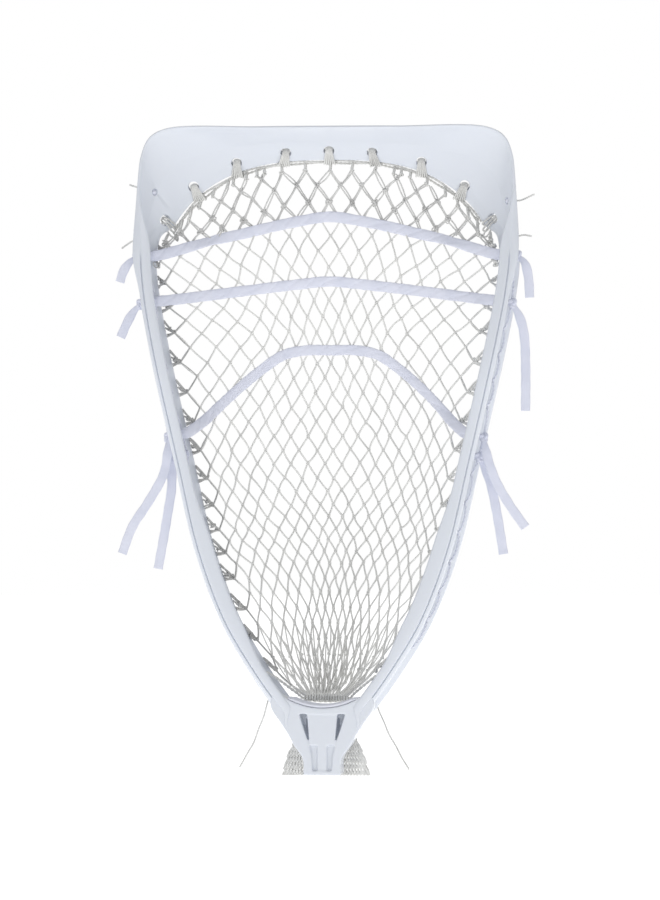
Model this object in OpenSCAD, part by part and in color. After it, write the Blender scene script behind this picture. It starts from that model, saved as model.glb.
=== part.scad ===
// Lacrosse goalkeeper's head, strung with a mesh pocket.
// The origin is the centre of the shaft socket's mouth. +Z runs up the shaft axis to the scoop,
// the open face looks towards -Y, and the pocket hangs out towards +Y.

/* [Head] */
// Length from the socket mouth to the tip of the scoop
head_length = 508; // [490:2:526]
// Widest outside width, across the sidewalls
head_width = 305; // [290:1:320]
// Thickness of the sidewall web and of the scoop sheet
wall_thickness = 3.2; // [2.6:0.1:4]
// Depth from the front rim to the back rail, halfway up the sidewalls
wall_depth = 40; // [36:1:46]
// Distance from the outside of the back rail to the middle of the web's front edge
flange_reach = 8.5; // [8:0.1:9]

/* [Neck] */
// Width of the shaft that the socket takes, across its wide flats
shaft_width = 25.4; // [25:0.1:25.8]
// Depth of the shaft that the socket takes, front to back
shaft_depth = 22.6; // [22:0.1:23]
// Gap between shaft and socket, on each side
socket_gap = 0.2; // [0.1:0.05:0.3]
// Depth of the socket from its mouth
socket_depth = 44; // [40:1:45]
// Diameter of the screw hole in the side of the neck
screw_hole_d = 4.4; // [4:0.1:5]

/* [Pocket] */
// How far the deepest point of the pocket hangs behind the back rail
pocket_depth = 66; // [40:2:80]
// Thickness of the mesh sheet
mesh_thickness = 1.6; // [1.2:0.1:2]

/* [Strings] */
// Diameter of the stringing cord
cord_d = 2.2; // [1.6:0.1:2.4]
// Width of a shooting lace lying flat
lace_width = 7.5; // [6:0.5:8.5]
// Thickness of a shooting lace
lace_thickness = 1.3; // [1:0.1:1.5]
// Diameter of the holes for cord
cord_hole_d = 4.6; // [4:0.1:5]
// Diameter of the holes for laces and of the scoop holes
lace_hole_d = 7.6; // [7:0.1:8]

/* [Hidden] */

half_width = head_width / 2;
plastic = "#e4e6f0";
lace_colour = "#e1e5f2";
cord_colour = "#cfcfca";
foam_colour = "#eceef5";

// ---- small helpers -------------------------------------------------------------------------

function lerp(a, b, t) = a + (b - a) * t;
function clamp01(t) = max(0, min(1, t));
function smooth(t) = let (c = clamp01(t)) c * c * (3 - 2 * c);
function unit(v) = v / norm(v);
// Running totals of a list, starting at 0
function running(list) =
    [for (k = 0, sum = 0; k <= len(list); sum = sum + (k < len(list) ? list[k] : 0), k = k + 1) sum];
// Value of a list at a position that may lie between two entries
function at(list, pos) =
    let (i = max(0, min(len(list) - 2, floor(pos)))) lerp(list[i], list[i + 1], pos - i);

// A smooth curve through the middle points of a list, whose first and last points only aim it
function curve_point(a, b, c, d, t) =
    let (lab = sqrt(norm(b - a)), lbc = sqrt(norm(c - b)), lcd = sqrt(norm(d - c)),
         m1 = (c - b) + lbc * ((b - a) / lab - (c - a) / (lab + lbc)),
         m2 = (c - b) + lbc * ((d - c) / lcd - (d - b) / (lbc + lcd)))
    (2*t*t*t - 3*t*t + 1) * b + (t*t*t - 2*t*t + t) * m1 + (3*t*t - 2*t*t*t) * c + (t*t*t - t*t) * m2;
function curve(points, step) = concat(
    [for (i = [1 : len(points) - 3])
        let (n = max(1, ceil(norm(points[i + 1] - points[i]) / step)))
        for (k = [0 : n - 1])
            curve_point(points[i - 1], points[i], points[i + 1], points[i + 2], k / n)],
    [points[len(points) - 2]]);

// The unit direction of a path at each of its points
function directions(path) = [for (i = [0 : len(path) - 1])
    unit(path[min(i + 1, len(path) - 1)] - path[max(i - 1, 0)])];

// The part of a vector that stands square to a direction, as a unit vector
function square_to(v, dir) = unit(v - (v * dir) * dir);
// Directions carried along a path with no twist, starting as near as possible to the one given
function carried(path, start) = let (dirs = directions(path))
    [for (i = 0, n = square_to(start, dirs[0]); i < len(path);
        i = i + 1, n = i < len(path) ? square_to(n, dirs[i]) : n) n];

// A solid swept along a path. Each section is a list of [side, thickness] points, counter-clockwise,
// and its thickness runs along the face direction given for that point of the path.
module sweep(path, sections, wanted) {
    dirs = directions(path);
    faces = [for (i = [0 : len(path) - 1]) square_to(wanted[i], dirs[i])];
    m = len(sections[0]);
    points = [for (i = [0 : len(path) - 1])
        let (side = cross(dirs[i], faces[i]))
        for (p = sections[i]) path[i] + side * p[0] + faces[i] * p[1]];
    skin(points, len(path), m);
}

// A closed skin over rings of m points each, with flat ends
module skin(points, rings, m) {
    polyhedron(points, concat(
        [[for (k = [m - 1 : -1 : 0]) k]],
        [for (i = [0 : rings - 2], k = [0 : m - 1])
            [i * m + k, i * m + (k + 1) % m, (i + 1) * m + k]],
        [for (i = [0 : rings - 2], k = [0 : m - 1])
            [i * m + (k + 1) % m, (i + 1) * m + (k + 1) % m, (i + 1) * m + k]],
        [[for (k = [0 : m - 1]) (rings - 1) * m + k]]), convexity = 12);
}

// ---- outline of the frame --------------------------------------------------------------------

// Right half of the outside outline, from the throat over the corner to the middle of the tip,
// as fractions of half the width and of the length. The first and last points only aim the curve.
outline_shape = [
    [0.125, 0.045], [0.190, 0.071], [0.275, 0.102], [0.404, 0.157], [0.547, 0.230], [0.686, 0.341],
    [0.788, 0.470], [0.926, 0.654], [0.981, 0.745], [0.999, 0.811], [0.981, 0.915], [0.966, 0.955],
    [0.924, 0.983], [0.830, 0.998], [0.360, 1.000], [0, 1.000], [-0.360, 1.000]
];
ring_step = 12;
outline = curve([for (p = outline_shape) [p[0] * half_width, p[1] * head_length]], ring_step);
rings = len(outline);
outline_dir = directions(outline);
outward = [for (t = outline_dir) [t[1], -t[0]]];
along = running([for (i = [0 : rings - 2]) norm(outline[i + 1] - outline[i])]);

// Height where the sidewalls end and the scoop arch springs
spring_z = 0.768 * head_length;
arch_width = 0.882 * half_width;
arch_height = 0.181 * head_length;
arch_powers = [2 / 2.7, 2 / 1.85];
// Heights between which the flanges fade into the plain scoop sheet
fade_from_z = 0.80 * head_length;
fade_to_z = 0.915 * head_length;

spring_ring = lookup(spring_z,
    [for (i = [0 : rings - 1]) if (outward[i][0] > 0.9) [outline[i][1], i]]);
spring_along = at(along, spring_ring);
// 0 on the sidewalls, then 0 to 1 from the spring of the arch to the middle of the scoop
arch_part = [for (i = [0 : rings - 1])
    clamp01((along[i] - spring_along) / (along[rings - 1] - spring_along))];
// 1 where the section is a flanged sidewall, 0 where it is the plain scoop sheet and at the ends,
// which lie inside the neck
flanged = [for (i = [0 : rings - 1])
    let (z = outline[i][1],
         start = smooth((z - outline[0][1]) / 9),
         fade = smooth((z - fade_from_z) / (fade_to_z - fade_from_z)))
    outward[i][0] > 0.5 ? start * (1 - fade) : 0];

edge_inset = wall_thickness / 2;
// The rim bows back between its ends, and the scoop sweeps back from the line of the sidewalls
scoop_from_z = 300;
scoop_sweep = 34;
function swept(z) = smooth((z - scoop_from_z) / (head_length - scoop_from_z));
front_y = [for (p = outline)
    -15 + 6 * pow(sin(180 * clamp01((p[1] - 36) / (head_length - 36))), 2) + scoop_sweep * swept(p[1])];
front = [for (i = [0 : rings - 1])
    let (q = outline[i] - outward[i] * lerp(edge_inset, flange_reach, flanged[i]))
    [q[0], front_y[i], q[1]]];
arch_y = 48;
rail_y = [for (i = [0 : rings - 1])
    let (wall = lerp(15, wall_depth - 9, smooth((outline[i][1] - 36) / 150)))
    lerp(wall + 12 * swept(outline[i][1]), arch_y, smooth(arch_part[i]))];
arch = [for (i = [0 : rings - 1]) let (a = 90 * arch_part[i])
    [arch_width * pow(max(0, cos(a)), arch_powers[0]),
        spring_z + arch_height * pow(sin(a), arch_powers[1])]];
rail = [for (i = [0 : rings - 1])
    let (wall = outline[i] - outward[i] * flange_reach,
         q = lerp(wall, arch[i], smooth(arch_part[i] * 3.2))) [q[0], rail_y[i], q[1]]];

depth = [for (i = [0 : rings - 1]) norm(rail[i] - front[i])];
depth_dir = [for (i = [0 : rings - 1]) unit(rail[i] - front[i])];
ring_normal = [for (i = [0 : rings - 1])
    let (t = [outline_dir[i][0], 0, outline_dir[i][1]]) unit(cross(depth_dir[i], t))];

// The web leans outwards, by this much at the back rail
web_lean = 2;
function lean(k, part) = k * web_lean * part;

// The front rim carries a groove, and reaches inwards by its lip, which is widest low down
groove = [for (p = outline) clamp01((0.807 * head_length - p[1]) / 8)];
lip = [for (p = outline) 7 + 4 * smooth((225 - p[1]) / 50) * (1 - smooth((110 - p[1]) / 35))];
rim_reach = [for (p = outline) 4.4 + 3.6 * smooth((p[1] - 370) / 40)];
rail_inward = 9.2;
t2 = wall_thickness / 2;
reach = flange_reach - 0.3 - web_lean;
// One ring of the frame: [outward, depth] points. k fades the flanges, g cuts the groove, l is
// the lip, o the outward reach of the rim and d the depth there.
function ring_section(k, g, l, o, d) = [
    [-lerp(t2 - 0.2, l, k), lerp(1.2, 1.6, k)],
    [-lerp(t2 - 0.8, l - 1.2, k), lerp(0, -0.5, k)],
    [lerp(t2 - 0.9, 0.4, k), lerp(0, -0.5, k)],
    [lerp(t2 - 0.7, 1, k), lerp(0.2, lerp(0.1, 1.5, g), k)],
    [lerp(t2 - 0.5, 1.7, k), lerp(0.5, 0.1, k)],
    [lerp(t2 - 0.2, o - 0.6, k), lerp(1.4, 1.6, k)],
    [lerp(t2, o, k), lerp(3, 5, k)],
    [t2, lerp(6, 8.6, k)],
    [t2, d / 2],
    [t2, d - 10.5],
    [lerp(t2, reach, k), d - 6],
    [lerp(t2 - 0.2, reach, k), d - 1.4],
    [lerp(t2 - 0.8, reach - 1.2, k), d],
    [-lerp(t2 - 0.8, rail_inward - 1.1, k), d],
    [-lerp(t2 - 0.2, rail_inward, k), d - 1.6],
    [-lerp(t2, rail_inward, k), d - 4],
    [-t2, d - 8],
    [-t2, d / 2],
    [-t2, lerp(6, 7, k)]
];
// The scoop sheet is dished: its middle lies behind the straight line from tip to edge
dish = 4.5;
function skewed(k, v) = lean(k, v) + (1 - k) * dish * 4 * v * (1 - v);
function ring_points(i) = [for (p = ring_section(flanged[i], groove[i], lip[i], rim_reach[i], depth[i]))
    front[i] + ring_normal[i] * (p[0] + skewed(flanged[i], clamp01(p[1] / depth[i])))
        + depth_dir[i] * p[1]];
function mirrored(p) = [-p[0], p[1], p[2]];
function reversed(list) = [for (i = [len(list) - 1 : -1 : 0]) list[i]];

// ---- places on the frame ---------------------------------------------------------------------

// Ring position of a height on the sidewall, and of a distance from the middle on the scoop edge
function ring_at_height(z) =
    lookup(z, [for (i = [0 : rings - 1]) if (outward[i][0] > 0.5) [outline[i][1], i]]);
function ring_at_width(x) =
    lookup(x, [for (i = [rings - 1 : -1 : 0]) if (arch_part[i] > 0.05) [rail[i][0], i]]);
// Point at ring position r, u outward from the middle of the web and v in front of the back edge
function place(r, u, v) =
    let (d = at(depth, r), part = clamp01((d - v) / d), f = at(flanged, r))
    at(front, r) + at(ring_normal, r) * (u + skewed(f, part)) + at(depth_dir, r) * (d - v);
function place_at(z, u, v) = place(ring_at_height(z), u, v);
function sided(side, p) = side < 0 ? mirrored(p) : p;

// Cord holes and lace holes sit in the web, this far in front of the back edge
cord_hole_v = 13;
lace_hole_v = 16;
scoop_hole_v = 9;
bottom_cord_z = 72;
cord_hole_heights = concat([for (i = [0 : 6]) 95 + 23 * i], [for (i = [0 : 3]) 286 + 20 * i], [388]);
top_lace_z = 405;
middle_lace_z = 367;
lower_lace_z = 262;
lower_lace_second_z = 247;
lace_hole_heights = [top_lace_z, middle_lace_z, lower_lace_z, lower_lace_second_z];
corner_cord_z = 420;
left_scoop_cord_z = 475;
right_scoop_cord_z = 460;
corner_cord_v = 22;
scoop_cord_v = 30;
scoop_hole_widths = [0, 36, 73, 104, 125];

module hole(r, v, d, length, side) {
    p = sided(side, place(r, 0, v));
    n = unit(sided(side, at(ring_normal, r)));
    translate(p) rotate([0, acos(n[2]), atan2(n[1], n[0])])
        cylinder(h = length, d = d, center = true, $fn = 32);
}

module string_holes() {
    through = 3 * wall_thickness;
    for (side = [-1, 1]) {
        for (z = concat([bottom_cord_z], cord_hole_heights))
            hole(ring_at_height(z), cord_hole_v, cord_hole_d, through, side);
        for (z = lace_hole_heights) hole(ring_at_height(z), lace_hole_v, lace_hole_d, through, side);
        hole(ring_at_height(corner_cord_z), corner_cord_v, cord_hole_d, through, side);
        hole(ring_at_height(side < 0 ? left_scoop_cord_z : right_scoop_cord_z), scoop_cord_v,
            cord_hole_d, through, side);
        for (x = scoop_hole_widths)
            if (x > 0 || side > 0) hole(ring_at_width(x), scoop_hole_v, lace_hole_d, through, side);
    }
}

// ---- neck ------------------------------------------------------------------------------------

throat_radius = 56;
throat_z = 52;
neck_back = 15;
neck_front = -14.6;
neck_half = 14.6;
socket_w = shaft_width + 2 * socket_gap;
socket_d = shaft_depth + 2 * socket_gap;
socket_corner = 6.5;
screw_z = 8;
// Right side of the neck from its mouth to the throat, and of the window in its face
neck_side = [[neck_half, 0], [neck_half, 10], [16.2, 15], [21.6, 22.5], [27.2, 32.5], [33.5, 42],
    [39, 50], [40.5, 56], [37, 67]];
window_side = [[7.4, 3], [8.6, 16], [11, 26], [14.4, 36], [18, 47.5]];

module octagon(w, d, corner) {
    polygon([[w / 2, d / 2 - corner], [w / 2 - corner, d / 2],
        [corner - w / 2, d / 2], [-w / 2, d / 2 - corner],
        [-w / 2, corner - d / 2], [corner - w / 2, -d / 2],
        [w / 2 - corner, -d / 2], [w / 2, corner - d / 2]]);
}

// A flat shape given in the head's plane, made solid from depth y1 to depth y2
module slab(y1, y2) {
    translate([0, y2, 0]) rotate([90, 0, 0]) linear_extrude(height = y2 - y1) children();
}

module both_sides(side) {
    polygon(concat(side, reversed([for (p = side) [-p[0], p[1]]])));
}

module throat_cylinder(r, length) {
    translate([0, 0, throat_z + throat_radius]) rotate([90, 0, 0])
        cylinder(h = length, r = r, center = true, $fn = 96);
}

module throat_and_neck() {
    window_floor = -12.9;
    difference() {
        slab(neck_front, neck_back) both_sides(neck_side);
        throat_cylinder(throat_radius, 80);
        slab(neck_front - 1, window_floor) both_sides(window_side);
        for (x = [-6.1, 6.1]) translate([x, -12, 13]) cube([3.4, 8, 20], center = true);
        slab(neck_back - 2, neck_back + 1) both_sides(window_side);
    }
    slab(-14, window_floor + 0.5) polygon([[-9.8, 23], [9.8, 23], [11.8, 47.7], [-11.8, 47.7]]);
    slab(-14, window_floor + 0.5) polygon([[-3.7, 2.8], [3.7, 2.8], [3.7, 23.2], [-3.7, 23.2]]);
}

module head_frame() {
    half = [for (i = [0 : rings - 1]) ring_points(i)];
    other = [for (i = [rings - 2 : -1 : 0]) [for (p = half[i]) mirrored(p)]];
    loop = concat(half, other);
    color(plastic) difference() {
        union() {
            skin([for (ring = loop) for (p = reversed(ring)) p], len(loop), len(loop[0]));
            throat_and_neck();
        }
        string_holes();
        translate([0, 0, -1]) linear_extrude(height = socket_depth + 1)
            octagon(socket_w, socket_d, socket_corner);
        translate([neck_half, 0, screw_z]) rotate([0, 90, 0])
            cylinder(h = 6, d = screw_hole_d, center = true, $fn = 32);
    }
}

module ball_stop() {
    gap = 0.2;
    pad = 2.2;
    color(foam_colour) intersection() {
        difference() {
            throat_cylinder(throat_radius - gap, 28);
            throat_cylinder(throat_radius - gap - pad, 34);
        }
        translate([0, 0, throat_z]) cube([55, 40, 30], center = true);
    }
}

// ---- mesh ------------------------------------------------------------------------------------

mesh_bottom_z = 60;
mesh_side_gap = 7;
mesh_arch_gap = 7.5;
// Right edge of the pocket, from beside the throat up the sidewall and over the scoop arch.
// It keeps inside the back rail, and comes forward to the cord holes on the sidewalls.
rail_outward = [for (t = directions([for (p = rail) [p[0], p[2]]])) [t[1], 0, -t[0]]];
mesh_edge = concat(
    [[17, 19.5, mesh_bottom_z], [29, 14, 69]],
    [for (r = [ring_at_height(88) : 1.5 : rings - 1])
        let (over = smooth(at(arch_part, r) * 2))
        at(rail, r) - unit(at(rail_outward, r)) * lerp(mesh_side_gap, mesh_arch_gap, over)
            - [0, lerp(cord_hole_v, 3, over), 0]]);
mesh_top_z = mesh_edge[len(mesh_edge) - 1][2] - 0.6;
edge_x_table = [for (e = mesh_edge) [e[2], e[0]]];
edge_y_table = [for (e = mesh_edge) [e[2], e[1]]];
function mesh_half_width(z) = lookup(z, edge_x_table);
bag = pocket_depth + cord_hole_v;
// The pocket hangs deepest low down, and its sides fall steeply from the sidewalls
function pocket_y(x, z) =
    let (t = clamp01((z - mesh_bottom_z) / (mesh_top_z - mesh_bottom_z)),
         across = clamp01(abs(x) / mesh_half_width(z)))
    lookup(z, edge_y_table) + bag * sin(180 * pow(t, 0.486)) * (1 - pow(across, 2.3));

mesh_rows = 26;
mesh_columns = 22;
function mesh_point(i, j) =
    let (z = mesh_bottom_z + (mesh_top_z - mesh_bottom_z) * (1 - pow(1 - j / mesh_rows, 1.5)),
         x = mesh_half_width(z) * sin(90 * (2 * i / mesh_columns - 1)))
    [x, pocket_y(x, z), z];
function mesh_normal(i, j) = unit(cross(
    mesh_point(i, min(mesh_rows, j + 1)) - mesh_point(i, max(0, j - 1)),
    mesh_point(min(mesh_columns, i + 1), j) - mesh_point(max(0, i - 1), j)));

module mesh_pocket() {
    m = mesh_columns + 1;
    n = mesh_rows + 1;
    inner = [for (j = [0 : mesh_rows], i = [0 : mesh_columns]) mesh_point(i, j)];
    outer = [for (j = [0 : mesh_rows], i = [0 : mesh_columns])
        mesh_point(i, j) + mesh_normal(i, j) * mesh_thickness];
    rim = concat(
        [for (i = [0 : mesh_columns]) i],
        [for (j = [1 : mesh_rows]) j * m + mesh_columns],
        [for (i = [mesh_columns - 1 : -1 : 0]) mesh_rows * m + i],
        [for (j = [mesh_rows - 1 : -1 : 1]) j * m]);
    k = len(rim);
    color(cord_colour) polyhedron(concat(inner, outer), concat(
        [for (j = [0 : mesh_rows - 1], i = [0 : mesh_columns - 1], h = [0, 1])
            let (a = j * m + i) h == 0 ? [a, a + m, a + 1] : [a + 1, a + m, a + m + 1]],
        [for (j = [0 : mesh_rows - 1], i = [0 : mesh_columns - 1], h = [0, 1])
            let (a = m * n + j * m + i) h == 0 ? [a, a + 1, a + m] : [a + 1, a + m + 1, a + m]],
        [for (i = [0 : k - 1], h = [0, 1])
            let (a = rim[i], b = rim[(i + 1) % k])
            h == 0 ? [a, b, b + m * n] : [a, b + m * n, a + m * n]]), convexity = 8);
}

module mesh_tail() {
    side = [[36, -3], [31, 14], [20, 36], [11.5, 54]];
    color(cord_colour) slab(17.4, 19.6) both_sides(side);
}

// ---- cords and laces -------------------------------------------------------------------------

// Knots sit outside the web, with their middle this far from it
knot_u = 5.6;
lace_knot_d = 7;
cord_knot_d = 4.4;

function round_section(d, n = 6) = [for (k = [0 : n - 1]) [cos(360 * k / n), sin(360 * k / n)] * d / 2];
function flat_section(w, t) = [[-w / 2, -t / 2], [w / 2, -t / 2], [w / 2, t / 2], [-w / 2, t / 2]];
// A smooth path through every point given
function through(points, step) = let (n = len(points) - 1) curve(
    concat([2 * points[0] - points[1]], points, [2 * points[n] - points[n - 1]]), step);

module cord(points, step = 5) {
    path = through(points, step);
    sweep(path, [for (p = path) round_section(cord_d)], carried(path, [0, -1, 0]));
}

// The cord that laces the top row of the mesh to the scoop, wrapped over its edge at each hole
module top_string() {
    off = wall_thickness / 2 + 2.6;
    spots = concat([for (i = [4 : -1 : 1]) [1, scoop_hole_widths[i]]], [[1, 0]],
        [for (i = [1 : 4]) [-1, scoop_hole_widths[i]]]);
    function wrap(side, x) = let (r = ring_at_width(x), s = side * 0.5) [
        for (q = [[-s, 0, -4], [-s / 2, -off, 1], [0, -off + 0.8, scoop_hole_v], [0, 0, scoop_hole_v],
                [0, off - 0.8, scoop_hole_v], [s / 2, off, 1], [s, 0, -4]])
            let (rr = r + (side > 0 ? q[0] : -q[0]) * (x == 0 ? 0 : 1))
            sided(side, place(rr, q[1], q[2])) + (x == 0 ? [-3 * q[0], 0, 0] : [0, 0, 0])];
    color(cord_colour) cord([for (s = spots) for (p = wrap(s[0], s[1])) p], 6);
}

// The cord that laces one side of the mesh to its sidewall: in one hole, along, and out the next
module sidewall_string(side) {
    inside = -4.4;
    outside = 4.2;
    n = len(cord_hole_heights);
    function run(i) =
        let (z = cord_hole_heights[i],
             outwards = i % 2 == 1,
             first = outwards ? inside : outside,
             last = outwards ? outside : inside) [
        if (i > 0) place_at(z - 5, first, cord_hole_v),
        place_at(z, first * 0.5, cord_hole_v),
        place_at(z, last * 0.5, cord_hole_v),
        if (i < n - 1) place_at(z + 5, last, cord_hole_v)];
    color(cord_colour) cord([for (i = [0 : n - 1]) for (p = run(i)) sided(side, p)], 9);
}

// The cord that closes the mesh at the throat, from the lowest hole on one side to the other
module bottom_string() {
    z = bottom_cord_z;
    side = [place_at(z, 1, cord_hole_v), place_at(z, -5, cord_hole_v), [24, 13.5, 63.5], [16, 22.5, 57]];
    color(cord_colour) cord(concat(side, reversed([for (p = side) mirrored(p)])), 8);
}

// Heights of the three shooting strings across the pocket, at a distance x from the middle
function top_string_z(x) = 437 - 32 * pow(abs(x) / 134, 1.3);
function middle_string_z(x) = 386 - 17 * pow(abs(x) / 134, 1.2);
function lower_string_z(x) = 332 - 66 * pow(max(0, abs(x) - 28) / 80, 1.35);

// Direction in which the inside of the pocket faces
function pocket_face(x, z) = let (e = 2) unit([
    (pocket_y(x + e, z) - pocket_y(x - e, z)) / (2 * e),
    -1,
    (pocket_y(x, z + e) - pocket_y(x, z - e)) / (2 * e)]);
lace_lift = 2.4;
lace_end_lift = 2;

// One shooting string: across the front of the mesh, and into a hole in each sidewall
module shooting_string(hole_z, reach_x, heights) {
    ends = [for (q = [[-0.2, 0], [-4.6, 0], [-8.5, 0.8]])
        place_at(hole_z, q[0], lace_hole_v + q[1])];
    middle = [for (i = [0 : len(heights) - 1])
        let (x = lace_x(i, reach_x),
             z = heights[i],
             lift = lace_lift + lace_end_lift * pow(abs(x) / reach_x, 6))
        [x, pocket_y(x, z), z] + pocket_face(x, z) * lift];
    path = through(concat(ends, middle, reversed([for (p = ends) mirrored(p)])), 7);
    n = len(path) - 1;
    faces = [for (p = path)
        lerp([0, -1, 0], pocket_face(p[0], p[2]), smooth((reach_x + 2 - abs(p[0])) / 20))];
    sections = [for (i = [0 : n])
        flat_section(lerp(5, lace_width, smooth((min(i, n - i) - 1) / 3)), lace_thickness)];
    color(lace_colour) sweep(path, sections, faces);
}

// The second end of the lower shooting string, beside the first, in its own hole
module lower_string_branch(side) {
    points = [for (u = [-0.2, -4.6, -7.6]) place_at(lower_lace_second_z, u, lace_hole_v)];
    path = [for (p = through(points, 3)) sided(side, p)];
    sweep(path, [for (p = path) flat_section(4.4, lace_thickness)], [for (p = path) [0, -1, 0]]);
}

// A tight knot, drawn as a ball with flat facets
module knot_ball(d) {
    sides = 12;
    skin([for (a = [72 : -24 : -72], k = [0 : sides - 1])
        [cos(a) * cos(360 * k / sides), cos(a) * sin(360 * k / sides), sin(a)] * d / 2], 7, sides);
}

// The loose end of a lace: a knot outside its hole, then a flat strip through the given offsets
module lace_tail(side, hole_z, offsets) {
    knot = place_at(hole_z, knot_u, lace_hole_v);
    path = [for (p = through([for (q = offsets) knot + q], 6)) sided(side, p)];
    color(lace_colour) union() {
        translate(sided(side, knot)) knot_ball(lace_knot_d);
        sweep(path,
            [for (i = [0 : len(path) - 1])
                flat_section(lerp(3.6, lace_width, smooth(i / 3)), lace_thickness)],
            [for (p = path) [0, -1, 0]]);
    }
}

// The loose end of a cord: a knot at its place, then the cord through the given offsets
module cord_tail(side, knot, offsets) {
    path = [for (p = through([for (q = offsets) knot + q], 6)) sided(side, p)];
    color(cord_colour) union() {
        translate(sided(side, knot)) knot_ball(cord_knot_d);
        sweep(path, [for (p = path) round_section(cord_d)], [for (p = path) [0, -1, 0]]);
    }
}

lace_points = 16;
function lace_x(i, reach_x) = reach_x * sin(90 * (1 - 2 * i / lace_points));

module shooting_string_top() shooting_string(top_lace_z, 127,
    [for (i = [0 : lace_points]) top_string_z(lace_x(i, 127))]);
module shooting_string_middle() shooting_string(middle_lace_z, 127,
    [for (i = [0 : lace_points]) middle_string_z(lace_x(i, 127))]);
module shooting_string_lower() {
    shooting_string(lower_lace_z, 98, [for (i = [0 : lace_points]) lower_string_z(lace_x(i, 98))]);
    for (side = [-1, 1]) color(lace_colour) lower_string_branch(side);
}

module top_lace_tail_left() lace_tail(-1, top_lace_z,
    [[0, 0, 0], [5, -3, -4], [10, -3.5, -11], [13, -3.5, -20]]);
module top_lace_tail_right() lace_tail(1, top_lace_z,
    [[0, 0, 0], [6, -3, -6], [9, -3.5, -17], [10, -3.5, -33]]);
module middle_lace_tail_left() lace_tail(-1, middle_lace_z,
    [[0, 0, 0], [5, -0.5, -5], [10, -1, -13], [16, -0.6, -26]]);
module middle_lace_tail_right() lace_tail(1, middle_lace_z,
    [[0, 0, 0], [5, -0.5, -4], [12, -1, -13], [15.5, -0.5, -26], [16, 0.4, -50], [15.5, -0.4, -84]]);
module lower_lace_tail_left_outer() lace_tail(-1, lower_lace_z,
    [[0, 0, 0], [0, -5, -11], [3, -5, -28], [15, -5, -50], [28, -5, -70], [36, -5, -91]]);
module lower_lace_tail_left_inner() lace_tail(-1, lower_lace_second_z,
    [[0, 0, 0], [1, 2, -8], [1.5, 2.5, -26], [4, 2.5, -42], [7, 2.5, -60], [12, 2.5, -88]]);
module lower_lace_tail_right_outer() lace_tail(1, lower_lace_z,
    [[0, 0, 0], [4, -5, -9], [11, -5, -22], [20, -5, -42], [33, -5, -70]]);
module lower_lace_tail_right_inner() lace_tail(1, lower_lace_second_z,
    [[0, 0, 0], [3, 2, -6], [8, 2.5, -18], [13, 2.5, -40], [19, 2.5, -76]]);
// Cord knots sit outside a hole near the rim, or on the bottom string behind the back rail
function outside_hole(z, v) = place_at(z, knot_u - 1, v);
function behind_rail(z) = place_at(z, -2, -3.2);
module scoop_cord_tail_left() cord_tail(-1, outside_hole(left_scoop_cord_z, scoop_cord_v),
    [[0, 0, 0], [5, 0, 2], [17, 0, 6]]);
module scoop_cord_tail_right() cord_tail(1, outside_hole(right_scoop_cord_z, scoop_cord_v),
    [[0, 0, 0], [5, 0, 0], [17, 0, 5]]);
module corner_cord_tail_left() cord_tail(-1, outside_hole(corner_cord_z, corner_cord_v),
    [[0, 0, 0], [5, 0, -2], [13, 0, -8]]);
module corner_cord_tail_right() cord_tail(1, outside_hole(corner_cord_z, corner_cord_v),
    [[0, 0, 0], [5, 0, 2], [13, 0, 1]]);
module bottom_cord_tail_left() cord_tail(-1, behind_rail(64),
    [[0, 0, 0], [1, 1, -10], [6.5, 1.5, -28], [14.5, 1.5, -48], [25, 1.5, -66]]);
module bottom_cord_tail_right() cord_tail(1, behind_rail(60),
    [[0, 0, 0], [-1.5, 1, -8], [1.5, 1.5, -19], [9, 1.5, -36], [24, 1.5, -63]]);

head_frame();
ball_stop();
mesh_pocket();
mesh_tail();
top_string();
sidewall_string(-1);  // sidewall_string_left
sidewall_string(1);  // sidewall_string_right
bottom_string();
shooting_string_top();
shooting_string_middle();
shooting_string_lower();
top_lace_tail_left();
top_lace_tail_right();
middle_lace_tail_left();
middle_lace_tail_right();
lower_lace_tail_left_outer();
lower_lace_tail_left_inner();
lower_lace_tail_right_outer();
lower_lace_tail_right_inner();
scoop_cord_tail_left();
scoop_cord_tail_right();
corner_cord_tail_left();
corner_cord_tail_right();
bottom_cord_tail_left();
bottom_cord_tail_right();
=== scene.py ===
import bpy
import bmesh
import math
import numpy as np
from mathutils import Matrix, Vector


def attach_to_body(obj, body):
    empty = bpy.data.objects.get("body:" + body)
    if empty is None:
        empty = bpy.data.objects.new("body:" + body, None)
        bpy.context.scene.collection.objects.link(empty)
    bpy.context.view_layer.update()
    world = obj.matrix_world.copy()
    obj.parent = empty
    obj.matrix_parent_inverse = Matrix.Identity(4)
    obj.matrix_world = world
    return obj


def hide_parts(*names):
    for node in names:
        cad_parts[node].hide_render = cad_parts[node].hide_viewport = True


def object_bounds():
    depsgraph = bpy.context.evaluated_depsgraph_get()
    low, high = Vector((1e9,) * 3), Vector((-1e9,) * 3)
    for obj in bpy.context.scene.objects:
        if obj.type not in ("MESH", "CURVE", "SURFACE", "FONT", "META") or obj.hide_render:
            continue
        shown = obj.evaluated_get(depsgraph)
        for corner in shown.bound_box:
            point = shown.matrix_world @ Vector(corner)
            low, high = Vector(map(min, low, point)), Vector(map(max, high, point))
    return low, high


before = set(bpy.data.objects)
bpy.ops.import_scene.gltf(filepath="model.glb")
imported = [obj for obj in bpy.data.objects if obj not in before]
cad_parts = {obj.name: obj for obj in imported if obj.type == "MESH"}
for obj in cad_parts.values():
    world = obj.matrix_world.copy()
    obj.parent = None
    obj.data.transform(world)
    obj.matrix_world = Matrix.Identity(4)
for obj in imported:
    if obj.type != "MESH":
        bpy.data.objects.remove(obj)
cad_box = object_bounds()
rng = np.random.default_rng(7)
MM = 0.001

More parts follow.
